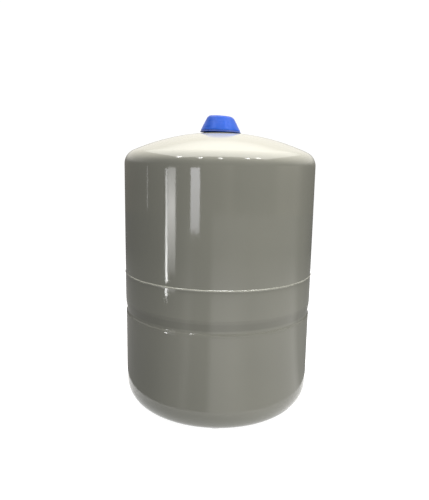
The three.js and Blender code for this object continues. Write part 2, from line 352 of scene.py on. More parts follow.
PAINT = paint_material()
WELD_PAINT = weld_material()
BLUE = blue_material()
STAINLESS = turned_metal(
    "stainless_steel", (0.5, 0.5, 0.49), (0.62, 0.62, 0.61), 0.2, 0.34, 0.00022, 0.000008
)
BRASS = turned_metal(
    "turned_brass", (0.62, 0.43, 0.16), (0.74, 0.55, 0.24), 0.18, 0.32, 0.00018, 0.000006
)
PLATED = plated_material()
RUBBER = rubber_material()
LINER = liner_material()

SLOT_MATERIALS = {
    "paint": PAINT,
    "steel": PLATED,
    "stainless": STAINLESS,
    "brass": BRASS,
    "rubber": RUBBER,
    "liner_plastic": LINER,
    "blue_plastic": BLUE,
}
node_slot = {entry["node"]: entry["material_slot"] for entry in frame["record"]["subparts"]}
for node_name, node_object in frame["nodes"].items():
    for material_slot in node_object.material_slots:
        material_slot.material = SLOT_MATERIALS[node_slot[node_name]]


# ---------------------------------------------------------------- shape tools
def rounded(points, steps=5):
    """A closed outline of (radius, height[, fillet]) with its filleted corners turned into arcs."""
    outline = []
    for index, point in enumerate(points):
        here = Vector(point[:2])
        if len(point) < 3:
            outline.append(here)
            continue
        back = Vector(points[index - 1][:2]) - here
        on = Vector(points[(index + 1) % len(points)][:2]) - here
        half = back.angle(on) / 2
        cut = min(point[2] / math.tan(half), 0.48 * min(back.length, on.length))
        fillet = cut * math.tan(half)
        centre = here + (back.normalized() + on.normalized()).normalized() * (fillet / math.sin(half))
        start = here + back.normalized() * cut - centre
        end = here + on.normalized() * cut - centre
        sweep = start.angle_signed(end)
        for step in range(steps + 1):
            arm = start.copy()
            arm.rotate(Matrix.Rotation(-sweep * step / steps, 2))
            outline.append(centre + arm)
    return outline


def smooth(mesh_object, sharp=32):
    for polygon in mesh_object.data.polygons:
        polygon.use_smooth = True
    mesh_object.data.set_sharp_from_angle(angle=math.radians(sharp))


def finished(name, mesh, material, sharp=32):
    """A new object from a bmesh, shaded smooth except at sharp edges."""
    bmesh.ops.recalc_face_normals(mesh, faces=mesh.faces[:])
    data = bpy.data.meshes.new(name)
    mesh.to_mesh(data)
    mesh.free()
    made = bpy.data.objects.new(name, data)
    bpy.context.scene.collection.objects.link(made)
    data.materials.append(material)
    smooth(made, sharp)
    return made


def add_spin(mesh, outline, segments=192, shape=None):
    """Adds a closed solid of revolution about Z. shape moves a point, given radius, height and angle."""
    rings = []
    for radius, height in outline:
        if radius < 1e-5:
            _, z = shape(0, height, 0) if shape else (0, height)
            rings.append([mesh.verts.new((0, 0, z * MM))])
            continue
        ring = []
        for step in range(segments):
            angle = TAU * step / segments
            r, z = shape(radius, height, angle) if shape else (radius, height)
            ring.append(mesh.verts.new((r * MM * math.cos(angle), r * MM * math.sin(angle), z * MM)))
        rings.append(ring)
    for index, first in enumerate(rings):
        second = rings[(index + 1) % len(rings)]
        for step in range(segments):
            after = (step + 1) % segments
            if len(first) == 1 and len(second) == 1:
                break
            if len(first) == 1:
                mesh.faces.new((first[0], second[step], second[after]))
            elif len(second) == 1:
                mesh.faces.new((first[step], second[0], first[after]))
            else:
                mesh.faces.new((first[step], second[step], second[after], first[after]))


def spin(name, outline, material, segments=192, shape=None, sharp=32):
    mesh = bmesh.new()
    add_spin(mesh, outline, segments, shape)
    return finished(name, mesh, material, sharp)


def stands_for(piece, node, body):
    """The piece takes the place of a CAD node and moves with its body."""
    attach(piece, body)
    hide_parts(node)
    return piece


def end_curve(radius, knuckle, crown, tangent, up, hole, knuckle_steps=14, crown_steps=40):
    """A torispherical end from its tangent line to a hole round the axis."""
    sweep = math.asin((radius - knuckle) / (crown - knuckle))
    centre = tangent - up * (crown - knuckle) * math.cos(sweep)
    curve = []
    for step in range(knuckle_steps + 1):
        angle = step / knuckle_steps * (math.pi / 2 - sweep)
        place = Vector((math.cos(angle), up * math.sin(angle))) * knuckle
        curve.append(Vector((radius - knuckle, tangent)) + place)
    last = math.asin(hole / crown)
    for step in range(1, crown_steps + 1):
        angle = sweep + step / crown_steps * (last - sweep)
        curve.append(Vector((crown * math.sin(angle), centre + up * crown * math.cos(angle))))
    return curve


def inside_curve(radius, knuckle, tangent, up, hole):
    """The inner face of a shell's end."""
    return end_curve(radius - WALL, knuckle - WALL, CROWN_R - WALL, tangent, up, hole, 8, 14)


def wall_points(radius, start, end, spacing=4.0):
    """Points up or down a straight wall, close enough for its faint waviness."""
    count = max(2, int(abs(end - start) / spacing))
    return [Vector((radius, start + (end - start) * step / count)) for step in range(count + 1)]


def hexagon(flats, angle):
    """Radius of a hexagon with a corner at angle 0."""
    folded = angle % (TAU / 6) - TAU / 12
    return flats / 2 / math.cos(folded)


def dented(radius, height, angle, amount=0.045):
    """Pressed sheet is never quite round: a faint, long-waved wobble of the radius."""
    place = Vector((math.cos(angle) * 2.3, math.sin(angle) * 2.3, height / 55))
    fine = Vector((math.cos(angle) * 6.1, math.sin(angle) * 6.1, height / 21))
    return amount * noise.noise(place) + amount * 0.35 * noise.noise(fine)


# ---------------------------------------------------------------- shells
SHELL_SEGMENTS = 320


def shell_shape(radius, height, angle):
    """Where the sheet really lies: faint dents, drawn in beside the weld, uneven along the rolled lip."""
    wobble = dented(radius, height, angle)
    pull = 0.28 * math.exp(-abs(height - WELD_Z) / (3.5 if height > WELD_Z else 1.2))
    fade = min(1.0, radius / 90)
    near_lip = math.exp(-((height - LIP_Z - 1) / 2.2) ** 2) * fade
    place = Vector((math.cos(angle) * 9, math.sin(angle) * 9, 5.5))
    dip = near_lip * (0.35 * noise.noise(place) + 0.16 * noise.noise(place * 2.7))
    press = near_lip * 0.09 * noise.noise(place * 3.1)
    return radius - fade * (pull + 0.05) + fade * min(wobble, 0.05) + press, height + dip


def build_upper_shell():
    outline = wall_points(UPPER_R, WELD_Z + 0.2, UPPER_TANGENT)[:-1]
    outline += end_curve(UPPER_R, TOP_KNUCKLE, CROWN_R, UPPER_TANGENT, 1, BOSS_HOLE)
    outline += inside_curve(UPPER_R, TOP_KNUCKLE, UPPER_TANGENT, 1, BOSS_HOLE)[::-1]
    outline.append(Vector((UPPER_R - WALL, WELD_Z + 0.2)))
    shell = spin("upper_shell_skin", outline, PAINT, SHELL_SEGMENTS, shell_shape)
    return stands_for(shell, "upper_shell", "vessel")


def build_lower_shell():
    outline = end_curve(LOWER_R, BOTTOM_KNUCKLE, CROWN_R, LOWER_TANGENT, -1, NIPPLE_HOLE)[::-1]
    outline += wall_points(LOWER_R, LOWER_TANGENT, LIP_Z - 4.5)[1:]
    roll = rounded([
        (LOWER_R, LIP_Z - 4, 3),
        (LOWER_R + 0.08, LIP_Z + 0.3, 0.9),
        (GROOVE_R + 0.05, LIP_Z + 1.6, 1),
        (GROOVE_R, GROOVE_Z - 0.8, 2.5),
        (UPPER_R - 0.25, GROOVE_TOP - 0.9, 6),
        (UPPER_R, GROOVE_TOP + 6, 4),
    ], 5)
    outline += [point for point in roll if LIP_Z - 4.2 < point.y < GROOVE_TOP + 5]
    outline += wall_points(UPPER_R, GROOVE_TOP + 6, WELD_Z - 0.2)
    outline += [
        Vector((UPPER_R - WALL, WELD_Z - 0.2)),
        Vector((UPPER_R - WALL, GROOVE_TOP)),
        Vector((GROOVE_R - WALL, GROOVE_Z)),
        Vector((GROOVE_R - WALL, LIP_Z + 2)),
        Vector((LOWER_R - WALL, LIP_Z)),
    ]
    outline += inside_curve(LOWER_R, BOTTOM_KNUCKLE, LOWER_TANGENT, -1, NIPPLE_HOLE)
    shell = spin("lower_shell_skin", outline, PAINT, SHELL_SEGMENTS, shell_shape)
    return stands_for(shell, "lower_shell", "vessel")


def build_girth_weld():
    ripples = 330

    def bead(radius, height, angle):
        place = Vector((math.cos(angle) * 4, math.sin(angle) * 4, 3.7))
        quick = Vector((math.cos(angle) * 19, math.sin(angle) * 19, 8.1))
        drift = 0.3 * noise.noise(place) + 0.16 * noise.noise(quick)
        wide = 1 + 0.16 * noise.noise(quick * 1.7)
        crest = max(0.0, 1 - abs(height - WELD_Z) / 1.1)
        ripple = 0.05 * abs(math.sin(ripples / 2 * angle + (height - WELD_Z) * 0.7)) * crest
        lift = 0.06 * noise.noise(quick * 2.3) * crest
        return min(radius + ripple + lift - 0.03, WELD_R), WELD_Z + (height - WELD_Z) * wide + drift

    outline = [Vector((UPPER_R - WALL, WELD_Z - 1.2)), Vector((UPPER_R - 0.5, WELD_Z - 1.5))]
    steps = 12
    for step in range(steps + 1):
        across = step / steps * 2 - 1
        crown = UPPER_R - 0.36 + 0.7 * (1 - abs(across) ** 1.35)
        outline.append(Vector((crown, WELD_Z + 1.15 * across)))
    outline += [Vector((UPPER_R - 0.5, WELD_Z + 1.5)), Vector((UPPER_R - WALL, WELD_Z + 1.2))]
    weld = spin("girth_weld_bead", outline, WELD_PAINT, 1320, bead, 60)
    return stands_for(weld, "girth_weld", "vessel")


build_upper_shell()
LOWER_SHELL = build_lower_shell()
WELD = build_girth_weld()


# ---------------------------------------------------------------- valve cover
def cover_lean(radius, height, angle):
    """The cover sits a little askew, higher on the left, and more so towards its top."""
    part = (height - COVER_LOW) / (COVER_TOP - COVER_LOW)
    slope = math.tan(math.radians(1.2 + 2.2 * part))
    settle = 0.55 - 1.27 * part
    return radius, height + settle - radius * math.cos(angle) * slope


def build_cover():
    sleeve = 12.6
    ceiling = COVER_TOP - 1.9
    outline = rounded([
        (0, ceiling),
        (10.4, ceiling, 0.6),
        (10.4, 341.9, 0.3),
        (sleeve, 341.6, 0.3),
        (sleeve, 334.7, 0.3),
        (sleeve + 1.6, 334.7, 0.3),
        (sleeve + 1.6, 341.1, 0.8),
        (15.7, 341.3, 0.8),
        (18.7, 335.7, 1),
        (19.7, COVER_LOW + 0.05, 0.15),
        (21.45, COVER_LOW + 0.05, 0.2),
        (21.6, COVER_LOW + 0.45, 0.2),
        (21.3, COVER_LOW + 0.95, 0.5),
        (20.65, FOOT_STEP_Z - 0.6, 0.4),
        (20.4, FOOT_STEP_Z, 0.12),
        (20.72, FOOT_STEP_Z + 0.12, 0.12),
        (20.3, FOOT_STEP_Z + 1.2, 1.5),
        (19.15, 338.5, 20),
        (18.2, 340.5, 20),
        (16.2, 344.6, 20),
        (14.1, 348.7, 2.6),
        (11.8, COVER_TOP, 3.2),
        (5.2, COVER_TOP + 0.12, 6),
        (3.2, COVER_TOP + 0.07, 0.25),
        (3.0, COVER_TOP - 0.13, 0.25),
        (1.2, COVER_TOP - 0.13, 0.2),
        (1.0, COVER_TOP + 0.02, 0.15),
        (0, COVER_TOP + 0.02),
    ], 6)
    mesh = bmesh.new()
    add_spin(mesh, outline, 192, cover_lean)
    for rib in range(8):
        angle = TAU * (rib + 0.5) / 8
        corners = [(sleeve + 1.2, 335.4), (18.95, 335.4), (16.1, 340.9), (sleeve + 1.2, 341)]
        sides = []
        for side in (-0.5, 0.5):
            side_corners = []
            for radius, height in corners:
                turn = angle + side / radius
                _, level = cover_lean(radius, height, turn)
                place = Vector((radius * math.cos(turn), radius * math.sin(turn), level))
                side_corners.append(mesh.verts.new(place * MM))
            sides.append(side_corners)
        mesh.faces.new(sides[0])
        mesh.faces.new(sides[1][::-1])
        for index in range(4):
            after = (index + 1) % 4
            mesh.faces.new((sides[0][index], sides[1][index], sides[1][after], sides[0][after]))
    cover = finished("valve_cover_moulding", mesh, BLUE, 40)
    return stands_for(cover, "valve_cover", "cover")


COVER = build_cover()


# ---------------------------------------------------------------- gas valve
def add_ring(name, node, ring_radius, section, height):
    """An O-ring, with its faint moulding flash where the two mould halves met."""
    outline = []
    for step in range(24):
        angle = TAU * step / 24
        flash = 0.03 if step in (0, 12) else 0.0
        reach = section + flash * section
        outline.append(Vector((ring_radius + reach * math.cos(angle), height + reach * math.sin(angle))))
    ring = spin(name, outline, RUBBER, 144, None, 60)
    return stands_for(ring, node, "vessel")


def thread_cut(height, angle, low, high, pitch, depth):
    """How deep a rounded thread is cut at this place, fading in and out at its ends."""
    if not low < height < high:
        return 0.0
    fade = min(1.0, (height - low) / (pitch * 0.7), (high - height) / (pitch * 0.7))
    phase = (height / pitch - angle / TAU) % 1
    flank = 0.5 - 0.5 * math.cos(TAU * phase)
    return depth * fade * min(1.0, flank * 1.15)


def chamfer(start, end, level, rise, steps):
    """Points out along the sloping edge of a hexagon, from one radius to another."""
    points = []
    for step in range(steps + 1):
        reach = step / steps
        points.append(Vector((start + (end - start) * reach, level + rise * reach)))
    return points


def rows(radius, low, high, spacing):
    """Points up a straight wall, close enough for its thread."""
    count = max(1, round((high - low) / spacing))
    return [Vector((radius, low + (high - low) * step / count)) for step in range(count + 1)]


def build_valve_boss():
    groove_low, groove_high = SEAT_Z + 0.75, SEAT_Z + 2.55
    outline = rounded([
        (6.3, BOSS_LOW, 0.4),
        (9, BOSS_LOW, 0.6),
        (9, SEAT_Z),
        (BOSS_R, SEAT_Z, 0.2),
        (BOSS_R, groove_low, 0.15),
        (BOSS_R - 1.2, groove_low, 0.2),
        (BOSS_R - 1.2, groove_high, 0.2),
        (BOSS_R, groove_high, 0.15),
        (BOSS_R, BOSS_TOP, 0.35),
        (7.9, BOSS_TOP, 0.15),
        (7.7, BOSS_TOP - 0.2, 0.1),
        (6.6, BOSS_TOP - 0.2, 0.1),
        (6.3, BOSS_TOP - 0.5, 0.1),
    ], 4)
    boss = spin("valve_boss_turned", outline, PLATED, 160)
    return stands_for(boss, "valve_boss", "vessel")


def fillet_ripple(count, size):
    """The shape of a fillet weld: an even row of ripples over a slow unevenness."""
    def ripple(radius, height, angle):
        wave = abs(math.sin(count / 2 * angle))
        place = Vector((math.cos(angle) * 5, math.sin(angle) * 5, 1.3))
        return radius + size * wave + size * 2 * noise.noise(place), height - size * 0.4 * wave
    return ripple


def build_boss_weld():
    outline = rounded([
        (BOSS_R + 0.02, SEAT_Z - 0.8),
        (14.5, SEAT_Z - 0.83, 0.2),
        (14.2, SEAT_Z - 0.5, 0.5),
        (13.2, SEAT_Z + 0.05, 0.8),
        (12.4, SEAT_Z + 0.75, 0.3),
        (BOSS_R + 0.02, SEAT_Z + 0.8),
    ], 4)
    weld = spin("boss_fillet_weld", outline, WELD_PAINT, 480, fillet_ripple(54, 0.08), 60)
    return stands_for(weld, "boss_weld", "vessel")


def build_valve_body():
    half = STEM_FLATS / 2
    corner = half / math.cos(math.pi / 6)
    stem_low, stem_high = STEM_HEX_TOP + 0.4, STEM_TOP - 0.5
    root_low, root_high = 323.4, 335.9

    def shape(radius, height, angle):
        if STEM_HEX_Z - 0.01 < height < STEM_HEX_TOP + 0.01 and radius > 6.5:
            return min(radius, hexagon(STEM_FLATS, angle)), height
        if radius > 3.5 and height > STEM_HEX_TOP:
            return radius - thread_cut(height, angle, stem_low, stem_high, STEM_PITCH, 0.42), height
        if 5.9 < radius < 6.1 and height < root_high + 0.1:
            return radius - thread_cut(height, angle, root_low, root_high, ROOT_PITCH, 0.6), height
        return radius, height

    outline = [Vector((STEM_BORE_R, root_low - 1)), Vector((5.3, root_low - 1))]
    outline += [Vector((5.9, root_low - 0.4))]
    outline += rows(ROOT_R, root_low, root_high + 0.3, 0.16)
    outline += [Vector((ROOT_R, STEM_HEX_Z)), Vector((half - 0.3, STEM_HEX_Z))]
    outline += chamfer(half - 0.1, corner, STEM_HEX_Z + 0.02, 0.43275, 6)
    outline += chamfer(half - 0.1, corner, STEM_HEX_TOP - 0.02, -0.43275, 6)[::-1]
    outline += [Vector((half - 0.3, STEM_HEX_TOP)), Vector((4.3, STEM_HEX_TOP))]
    outline += [Vector((STEM_R - 0.1, STEM_HEX_TOP + 0.25))]
    outline += rows(STEM_R, stem_low, stem_high, 0.09)
    outline += [Vector((3.5, STEM_TOP)), Vector((2.85, STEM_TOP)), Vector((STEM_BORE_R, STEM_TOP - 0.25))]
    body = spin("valve_stem_turned", outline, BRASS, 192, shape, 28)
    return stands_for(body, "valve_body", "vessel")


def build_core_barrel():
    flats_low = BARREL_TOP - 1.6

    def shape(radius, height, angle):
        if height > flats_low - 0.01 and radius > 1.2:
            flat = 1.35 / max(abs(math.sin(angle)), 1e-6)
            return max(min(radius, flat), 1.2), height
        return radius, height

    outline = rounded([
        (PIN_HOLE_R, BARREL_LOW, 0.1),
        (BARREL_R, BARREL_LOW, 0.2),
        (BARREL_R, flats_low),
        (BARREL_R, BARREL_TOP, 0.25),
        (PIN_HOLE_R, BARREL_TOP, 0.12),
        (PIN_HOLE_R, BARREL_TOP - 0.9),
        (1.2, BARREL_TOP - 0.9),
        (BARREL_BORE, BARREL_TOP - 1.7, 0.2),
        (BARREL_BORE, BARREL_LOW + 0.8, 0.2),
        (PIN_HOLE_R, BARREL_LOW + 0.8),
    ], 4)
    barrel = spin("core_barrel_turned", outline, BRASS, 96, shape, 30)
    return stands_for(barrel, "core_barrel", "vessel")


def build_valve_pin():
    outline = rounded([
        (0, CUP_LOW),
        (CUP_R, CUP_LOW, 0.25),
        (CUP_R, CUP_LOW + 0.9, 0.25),
        (PIN_R, CUP_LOW + 0.9, 0.1),
        (PIN_R, PIN_TOP - 2.4),
        (1.5, PIN_TOP - 2.4, 0.12),
        (1.5, PIN_TOP - 1.9, 0.12),
        (PIN_R, PIN_TOP - 1.9),
        (PIN_R, PIN_TOP, 0.35),
        (0, PIN_TOP),
    ], 4)
    pin = spin("valve_pin_turned", outline, BRASS, 64)
    return stands_for(pin, "valve_pin", "valve_pin")


def build_pin_washer():
    inner, outer = PIN_R + 0.3, 2.1
    low, high = CUP_LOW + 1.2, BARREL_LOW - 0.3
    outline = rounded([(inner, low, 0.1), (outer, low, 0.2), (outer, high, 0.2), (inner, high, 0.1)], 4)
    washer = spin("pin_washer_moulding", outline, RUBBER, 64)
    return stands_for(washer, "pin_washer", "valve_pin")


def build_core_spring():
    """Five turns of round wire, closer at both ends; it is baked in place and not attached to a body."""
    turns, coil, wire, sides = 5, 1.2, 0.2, 10
    low, high = 337.7, 343.8
    steps = turns * 32
    mesh = bmesh.new()
    rings = []
    for step in range(steps + 1):
        part = step / steps
        angle = turns * TAU * part
        rise = part - 0.09 * math.sin(TAU * part)
        outward = Vector((math.cos(angle), math.sin(angle), 0))
        centre = outward * coil + Vector((0, 0, low + (high - low) * rise))
        ring = []
        for side in range(sides):
            turn = TAU * side / sides
            arm = outward * math.cos(turn) + Vector((0, 0, math.sin(turn)))
            ring.append(mesh.verts.new((centre + arm * wire) * MM))
        rings.append(ring)
    for first, second in zip(rings, rings[1:]):
        for side in range(sides):
            after = (side + 1) % sides
            mesh.faces.new((first[side], first[after], second[after], second[side]))
    mesh.faces.new(rings[0])
    mesh.faces.new(rings[-1][::-1])
    spring = finished("core_spring_wire", mesh, STAINLESS, 50)
    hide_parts("core_spring")
    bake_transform(spring)


build_valve_boss()
build_boss_weld()
add_ring("cover_seal_ring", "cover_seal", 11.7, 0.6, 335.1)
build_valve_body()
add_ring("body_seal_ring", "body_seal", 7.2, 0.5, 337.4)
build_core_barrel()
build_valve_pin()
build_pin_washer()
build_core_spring()


# ---------------------------------------------------------------- water connection
def build_nipple():
    half = CONNECTION_FLATS / 2
    corner = half / math.cos(math.pi / 6)
    edge = corner - half + 0.2
    thread_low, thread_high = 0.6, 12.8

    def shape(radius, height, angle):
        if radius > 14 and CONNECTION_HEX_Z - 0.01 < height < COLLAR_Z - 0.05:
            return min(radius, hexagon(CONNECTION_FLATS, angle)), height
        if radius > THREAD_R - 0.1 and height < CONNECTION_HEX_Z:
            return radius - thread_cut(height, angle, thread_low, thread_high, THREAD_PITCH, 1.1), height
        return radius, height

    outline = [Vector((PORT_R + 0.5, 0)), Vector((THREAD_R - 1.3, 0)), Vector((THREAD_R - 1.1, 0.15))]
    outline += [Vector((THREAD_R - 0.15, 1.15))]
    outline += rows(THREAD_R, 1.3, thread_high, 0.15)
    outline += [Vector((THREAD_R - 0.6, thread_high + 0.4)), Vector((THREAD_R - 0.6, CONNECTION_HEX_Z))]
    outline += [Vector((half - 0.6, CONNECTION_HEX_Z))]
    outline += chamfer(half - 0.2, corner, CONNECTION_HEX_Z + 0.02, edge * 0.577, 8)
    outline += chamfer(half - 0.2, corner, COLLAR_Z - 0.3, -edge * 0.3, 8)[::-1]
    outline += rounded([
        (half - 0.4, COLLAR_Z - 0.2),
        (half - 0.4, COLLAR_Z, 0.1),
        (COLLAR_R, COLLAR_Z, 0.4),
        (COLLAR_R, COLLAR_TOP, 0.3),
        (THREAD_R, COLLAR_TOP),
        (THREAD_R, SPIGOT_TOP, 0.5),
        (PORT_R, SPIGOT_TOP, 0.4),
        (PORT_R, 0.6),
    ], 4)
    nipple = spin("water_nipple_turned", outline, STAINLESS, 192, shape, 28)
    return stands_for(nipple, "connection_nipple", "vessel")


def build_connection_weld():
    outline = rounded([
        (COLLAR_R + 0.05, 21.7, 0.2),
        (18.6, 22.1, 0.6),
        (20.2, 23.5, 1.2),
        (21.15, 24.75, 0.4),
        (20.9, 25.2),
        (COLLAR_R + 0.05, 24.95),
    ], 4)
    weld = spin("connection_fillet_weld", outline, WELD_PAINT, 640, fillet_ripple(70, 0.1), 60)
    return stands_for(weld, "connection_weld", "vessel")


build_nipple()
build_connection_weld()
add_ring("liner_seal_ring", "liner_seal", 15.9, 0.9, 28.9)


# ---------------------------------------------------------------- diaphragm, clench ring, liner
def build_diaphragm():
    def corrugated(radius, height, angle):
        if 25 < radius < 92 and height < 60:
            return radius, height + 0.18 * math.sin(radius * 0.9)
        return radius, height

    def cup(inset):
        """One face of the cup, from its straight wall to its middle."""
        radius, knuckle = DIAPHRAGM_R - inset, DIAPHRAGM_KNUCKLE - inset
        curve = end_curve(radius, knuckle, CROWN_R - inset, DIAPHRAGM_TANGENT, -1, 0.0, 14, 60)
        curve[-1] = Vector((0, curve[-1].y))
        return curve

    outline = cup(0)[::-1]
    outline += rounded([
        (DIAPHRAGM_R, RIM_Z - 2.6, 1.5),
        (RIM_R, RIM_Z, 1.5),
        (RIM_R, RIM_TOP, 0.7),
        (RIM_R - RIM_WALL, RIM_TOP, 0.7),
        (RIM_R - RIM_WALL, RIM_Z, 1.5),
        (DIAPHRAGM_R - DIAPHRAGM_WALL, RIM_Z - 2.6, 1.5),
    ], 4)
    outline += cup(DIAPHRAGM_WALL)
    diaphragm = spin("diaphragm_cup", outline, RUBBER, 160, corrugated)
    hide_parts("diaphragm")
    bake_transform(diaphragm)


def build_clench_ring():
    outer, inner, lip = 95.6, 94.0, 92.0
    low, high, thickness = 140.8, 157.2, 1.6
    outline = rounded([
        (lip, low, 0.4),
        (outer, low, 1.8),
        (outer, high, 1.8),
        (lip, high, 0.4),
        (lip, high - thickness, 0.3),
        (inner, high - thickness, 0.8),
        (inner, low + thickness, 0.8),
        (lip, low + thickness, 0.3),
    ], 4)
    ring = spin("clench_ring_strip", outline, PLATED, 192)
    return stands_for(ring, "clench_ring", "vessel")


def build_liner():
    def cup(inset):
        radius, knuckle, crown = LINER_R - inset, BOTTOM_KNUCKLE - 1.5 - inset, CROWN_R - 1.5 - inset
        return end_curve(radius, knuckle, crown, LOWER_TANGENT, -1, NIPPLE_HOLE, 10, 30)

    inner = LINER_R - LINER_WALL
    outline = cup(0)[::-1]
    outline += [Vector((LINER_R, LINER_TOP - 0.4)), Vector((LINER_R - 0.3, LINER_TOP))]
    outline += [Vector((inner + 0.3, LINER_TOP)), Vector((inner, LINER_TOP - 0.4))]
    outline += cup(LINER_WALL)
    liner = spin("liner_cup", outline, LINER, 160)
    return stands_for(liner, "liner", "vessel")


def build_liner_nut():
    low, high = 30.1, 34.4
    corner = NUT_FLATS / 2 / math.cos(math.pi / 6)
    edge = [(19.7, 0.05), (20.6, 0.2), (21.6, 0.5), (corner, 1)]

    def shape(radius, height, angle):
        if radius > 19 and low + 0.02 < height < high - 0.02:
            return min(radius, hexagon(NUT_FLATS, angle)), height
        return radius, height

    outline = rounded([(NIPPLE_HOLE, high, 0.3), (NIPPLE_HOLE, low, 0.3), (19.3, low, 0.1)], 4)
    outline += [Vector((radius, low + rise)) for radius, rise in edge]
    outline += [Vector((radius, high - rise)) for radius, rise in edge[::-1]]
    outline += [Vector((19.3, high)), Vector((15.2, high)), Vector((15, high - 0.25))]
    outline += [Vector((14.6, high - 0.25)), Vector((14.4, high))]
    nut = spin("liner_nut_moulding", outline, LINER, 192, shape, 28)
    return stands_for(nut, "liner_nut", "vessel")


build_diaphragm()
build_clench_ring()
build_liner()
build_liner_nut()


# ---------------------------------------------------------------- studio
def emission_tree(name):
    material = bpy.data.materials.new(name)
    material.use_nodes = True
    tree = material.node_tree
    tree.nodes.clear()
    emission = tree.nodes.new("ShaderNodeEmission")
    output = tree.nodes.new("ShaderNodeOutputMaterial")
    tree.links.new(emission.outputs[0], output.inputs["Surface"])
    return material, tree, emission


def place_axes(tree):
    where = tree.nodes.new("ShaderNodeTexCoord")
    axes = tree.nodes.new("ShaderNodeSeparateXYZ")
    tree.links.new(where.outputs["Object"], axes.inputs[0])
    return axes.outputs


def map_range(tree, value, low, high, out_low, out_high):
    made = tree.nodes.new("ShaderNodeMapRange")
    for key, number in zip(("From Min", "From Max", "To Min", "To Max"), (low, high, out_low, out_high)):
        made.inputs[key].default_value = number
    tree.links.new(value, made.inputs["Value"])
    return made.outputs["Result"]


def emitter(name, colour, strength):
    material, _, emission = emission_tree(name)
    emission.inputs["Color"].default_value = (*colour, 1)
    emission.inputs["Strength"].default_value = strength
    return material


def floor_material():
    """A pale sweep, lit so brightly that it is nearly white, with only a breath of shadow."""
    material, tree, glow = emission_tree("pale_floor")
    glow.inputs["Strength"].default_value = 0.93
    matt = tree.nodes.new("ShaderNodeBsdfDiffuse")
    matt.inputs["Color"].default_value = (0.3, 0.3, 0.3, 1)
    both = tree.nodes.new("ShaderNodeAddShader")
    tree.links.new(glow.outputs[0], both.inputs[0])
    tree.links.new(matt.outputs[0], both.inputs[1])
    tree.links.new(both.outputs[0], tree.nodes["Material Output"].inputs["Surface"])
    return material


def disc(mesh, rings, segments=64):
    """Rings of (radius, height) joined into one open surface round Z."""
    rows_made = []
    for radius, height in rings:
        turns = [TAU * step / segments for step in range(segments)]
        places = [(radius * math.cos(turn), radius * math.sin(turn), height) for turn in turns]
        rows_made.append([mesh.verts.new(place) for place in places])
    for first, second in zip(rows_made, rows_made[1:]):
        for step in range(segments):
            after = (step + 1) % segments
            mesh.faces.new((first[step], first[after], second[after], second[step]))


def on_stage(name, mesh, material, camera=False, diffuse=False, glossy=True, shadow=False):
    made = finished(name, mesh, material)
    made.visible_camera = camera
    made.visible_diffuse = diffuse
    made.visible_glossy = glossy
    made.visible_shadow = shadow
    made.visible_transmission = camera
    return made


def build_floor():
    mesh = bmesh.new()
    disc(mesh, [(0.0001, 0), (0.1, 0), (0.5, 0), (2, 0), (12, 0)], 96)
    on_stage("floor", mesh, floor_material(), camera=True)


def build_backdrop():
    mesh = bmesh.new()
    bmesh.ops.create_uvsphere(mesh, u_segments=48, v_segments=24, radius=12.5)
    on_stage("backdrop", mesh, emitter("backdrop_white", (1, 1, 1), 1.05), camera=True, glossy=False)


def stepped(tree, value, stops, low, high):
    """A grey ramp of (value, level) stops over a range of values."""
    ramp = tree.nodes.new("ShaderNodeValToRGB")
    tree.links.new(map_range(tree, value, low, high, 0, 1), ramp.inputs[0])
    elements = ramp.color_ramp.elements
    while len(elements) < len(stops):
        elements.new(0.5)
    for element, (place, level) in zip(elements, stops):
        element.position = (place - low) / (high - low)
        element.color = (level, level, level, 1)
    return ramp.outputs["Color"]


def room_material(name, tint, turns, reaches, by_radius=False):
    """The room the paint mirrors: brightness by direction round the vessel, then by height or distance."""
    material, tree, emission = emission_tree(name)
    axes = place_axes(tree)
    back = tree.nodes.new("ShaderNodeMath")
    back.operation = "MULTIPLY"
    back.inputs[1].default_value = -1
    tree.links.new(axes[1], back.inputs[0])
    turn = tree.nodes.new("ShaderNodeMath")
    turn.operation = "ARCTAN2"
    tree.links.new(axes[0], turn.inputs[0])
    tree.links.new(back.outputs[0], turn.inputs[1])
    degrees = map_range(tree, turn.outputs[0], -math.pi, math.pi, -180, 180)
    reach = axes[2]
    if by_radius:
        length = tree.nodes.new("ShaderNodeVectorMath")
        length.operation = "LENGTH"
        tree.links.new(tree.nodes["Texture Coordinate"].outputs["Object"], length.inputs[0])
        reach = length.outputs["Value"]
    strength = tree.nodes.new("ShaderNodeMath")
    strength.operation = "MULTIPLY"
    tree.links.new(stepped(tree, degrees, turns, -180, 180), strength.inputs[0])
    tree.links.new(stepped(tree, reach, reaches, 0, 2.7), strength.inputs[1])
    emission.inputs["Color"].default_value = (*tint, 1)
    tree.links.new(strength.outputs[0], emission.inputs["Strength"])
    material.cycles.emission_sampling = "NONE"
    return material


